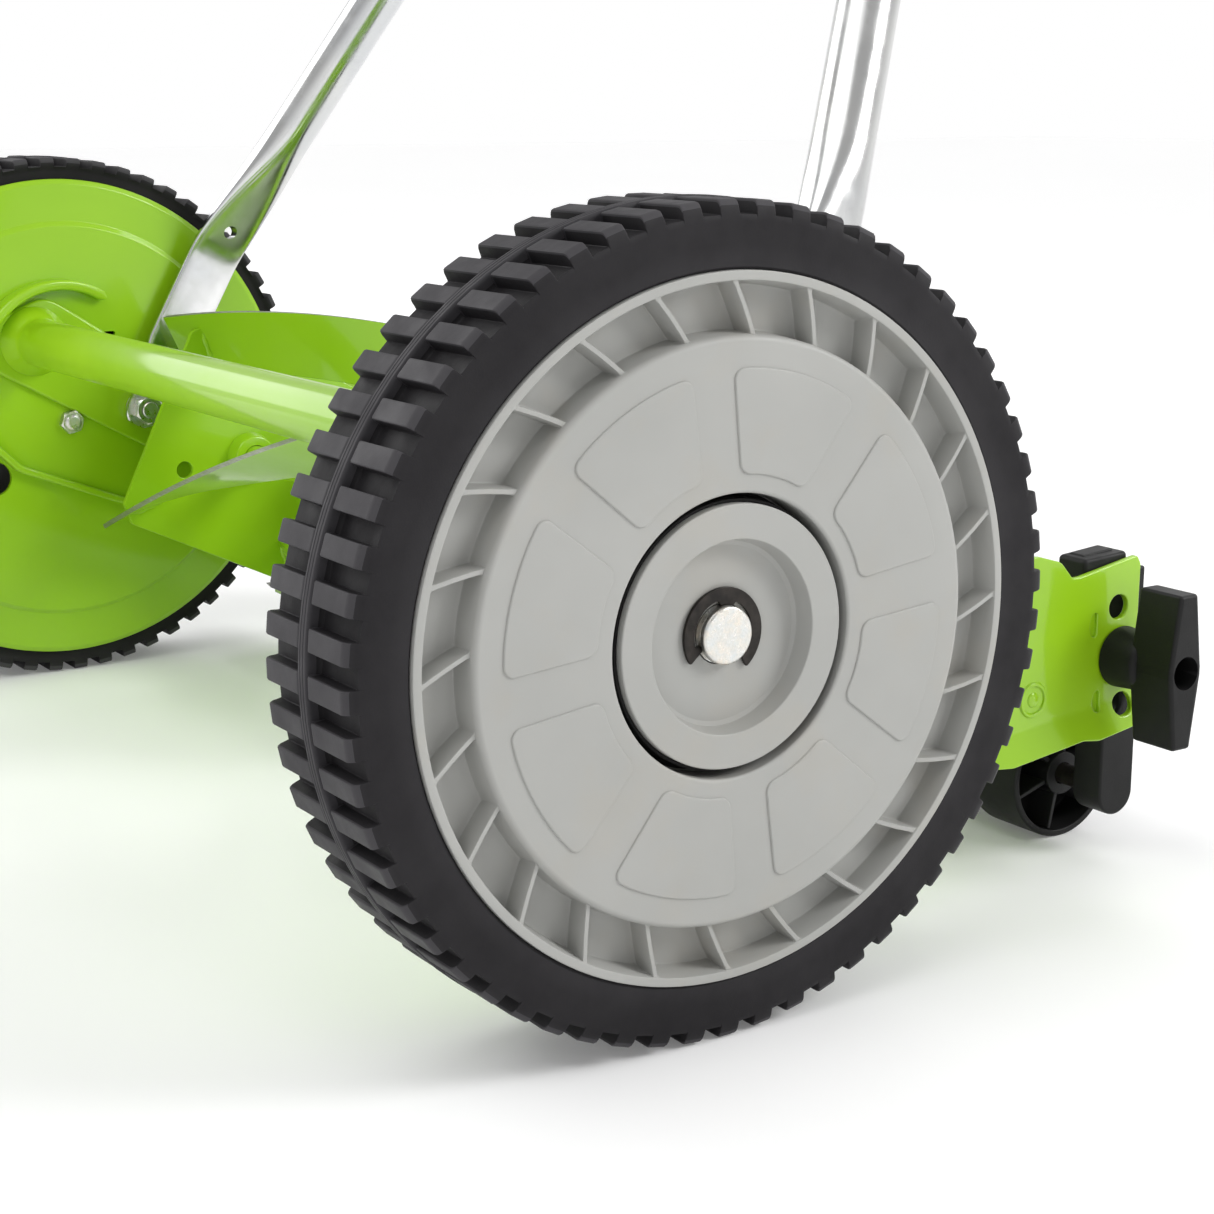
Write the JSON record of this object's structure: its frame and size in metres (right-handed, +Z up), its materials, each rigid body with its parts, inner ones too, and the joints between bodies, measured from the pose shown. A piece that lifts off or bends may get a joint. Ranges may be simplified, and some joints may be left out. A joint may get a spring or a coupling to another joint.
{
  "type": "reel mower",
  "caption": "Push reel mower with two lugged driving wheels, a helical blade reel, bedknife, adjustable rear roller and a folding T-shaped handle.",
  "frame": {"origin": "on the ground, at the bottom centre of the bounding box", "axes": "+Z up, +Y towards the operator behind the mower, +X to the operator's left"},
  "size_m": [0.6004, 0.663, 1.0216],
  "materials": {
    "green_coat": "glossy lime green powder coat",
    "grey_plastic": "light grey moulded plastic, satin",
    "tyre_rubber": "dark grey moulded tyre with cross bars",
    "seal_rubber": "black rubber",
    "black_plastic": "black moulded plastic, fine grain",
    "gear_plastic": "dark moulded gear plastic",
    "zinc_steel": "zinc plated steel",
    "chrome_tube": "bright plated tube",
    "dark_steel": "blackened steel",
    "ground_steel": "ground cutting steel",
    "foam": "black foam rubber sleeve"
  },
  "bodies": {
    "frame": {"side_plate_left": "green_coat", "side_plate_right": "green_coat", "tie_tube": "green_coat", "height_bracket_left": "green_coat", "height_bracket_right": "green_coat", "axle_left": "zinc_steel", "axle_right": "zinc_steel", "axle_clip_left": "dark_steel", "axle_clip_right": "dark_steel", "axle_nut_left": "zinc_steel", "axle_nut_right": "zinc_steel", "reel_bearing_left": "black_plastic", "reel_bearing_right": "black_plastic", "bedknife_pivot_left": "zinc_steel", "bedknife_pivot_right": "zinc_steel", "clamp_bolt_left": "zinc_steel", "clamp_bolt_right": "zinc_steel", "handle_bolt_left": "zinc_steel", "handle_bolt_right": "zinc_steel", "handle_nut_left": "zinc_steel", "handle_nut_right": "zinc_steel"},
    "wheel_left": {"tyre_left": "tyre_rubber", "wheel_rim_left": "grey_plastic", "hub_boss_left": "grey_plastic", "hub_seal_left": "seal_rubber", "ring_gear_left": "gear_plastic"},
    "wheel_right": {"tyre_right": "tyre_rubber", "wheel_rim_right": "grey_plastic", "hub_boss_right": "grey_plastic", "hub_seal_right": "seal_rubber", "ring_gear_right": "gear_plastic"},
    "pinion_left": {"pinion_left": "dark_steel"},
    "pinion_right": {"pinion_right": "dark_steel"},
    "reel": {"reel_shaft": "dark_steel", "spider_left": "green_coat", "spider_middle": "green_coat", "spider_right": "green_coat", "reel_blade_1": "green_coat", "reel_blade_2": "green_coat", "reel_blade_3": "green_coat", "reel_blade_4": "green_coat", "pawl_key_left": "dark_steel", "pawl_key_right": "dark_steel"},
    "bedknife_bar": {"bedknife_carrier": "green_coat", "bedknife": "ground_steel"},
    "height_carriage": {"height_slider_left": "black_plastic", "height_slider_right": "black_plastic", "roller_axle": "dark_steel"},
    "roller": {"rear_roller": "black_plastic"},
    "clamp_knob_left": {"clamp_knob_left": "black_plastic"},
    "clamp_knob_right": {"clamp_knob_right": "black_plastic"},
    "lower_handle": {"lower_tube_left": "chrome_tube", "lower_tube_right": "chrome_tube", "fold_bolt": "zinc_steel"},
    "upper_handle": {"upper_tube_left": "chrome_tube", "upper_tube_right": "chrome_tube", "foam_grip_left": "foam", "foam_grip_right": "foam"},
    "fold_knob": {"fold_knob": "black_plastic"}
  },
  "joints": [
    {"name": "wheel_left_spin", "type": "hinge", "parent": "frame", "child": "wheel_left", "pos_m": [0.275, -0.20445, 0.127], "axis": [1, 0, 0], "continuous": true},
    {"name": "wheel_right_spin", "type": "hinge", "parent": "frame", "child": "wheel_right", "pos_m": [-0.275, -0.20445, 0.127], "axis": [1, 0, 0], "continuous": true},
    {"name": "pinion_left_spin", "type": "hinge", "parent": "frame", "child": "pinion_left", "pos_m": [0.265, -0.12673, 0.10805], "axis": [1, 0, 0], "continuous": true},
    {"name": "pinion_right_spin", "type": "hinge", "parent": "frame", "child": "pinion_right", "pos_m": [-0.265, -0.12673, 0.10805], "axis": [1, 0, 0], "continuous": true},
    {"name": "reel_spin", "type": "hinge", "parent": "frame", "child": "reel", "pos_m": [0, -0.12673, 0.10805], "axis": [1, 0, 0], "continuous": true},
    {"name": "bedknife_adjust", "type": "hinge", "parent": "frame", "child": "bedknife_bar", "pos_m": [0, -0.04845, 0.075], "axis": [1, 0, 0], "range_deg": [0, 2]},
    {"name": "height_adjust", "type": "slide", "parent": "frame", "child": "height_carriage", "axis": [0, 0, 1], "range_m": [-0.0188, 0.0188]},
    {"name": "roller_spin", "type": "hinge", "parent": "height_carriage", "child": "roller", "pos_m": [0, 0.02055, 0.0255], "axis": [1, 0, 0], "continuous": true},
    {"name": "clamp_knob_left_turn", "type": "hinge", "parent": "frame", "child": "clamp_knob_left", "pos_m": [0.26, 0.01755, 0.079], "axis": [1, 0, 0], "range_deg": [-180, 180]},
    {"name": "clamp_knob_right_turn", "type": "hinge", "parent": "frame", "child": "clamp_knob_right", "pos_m": [-0.26, 0.01755, 0.079], "axis": [1, 0, 0], "range_deg": [-180, 180]},
    {"name": "handle_tilt", "type": "hinge", "parent": "frame", "child": "lower_handle", "pos_m": [0, -0.16886, 0.1315], "axis": [1, 0, 0], "range_deg": [-22, 40]},
    {"name": "handle_fold", "type": "hinge", "parent": "lower_handle", "child": "upper_handle", "pos_m": [0, 0.155, 0.71575], "axis": [1, 0, 0], "range_deg": [0, 150]},
    {"name": "fold_knob_turn", "type": "hinge", "parent": "lower_handle", "child": "fold_knob", "pos_m": [0.057, 0.155, 0.71575], "axis": [1, 0, 0], "range_deg": [-180, 180]}
  ],
  "couplings": [
    {"joint": "pinion_left_spin", "follows": "wheel_left_spin", "ratio": 6},
    {"joint": "reel_spin", "follows": "wheel_left_spin", "ratio": 6},
    {"joint": "pinion_right_spin", "follows": "wheel_right_spin", "ratio": 6}
  ]
}
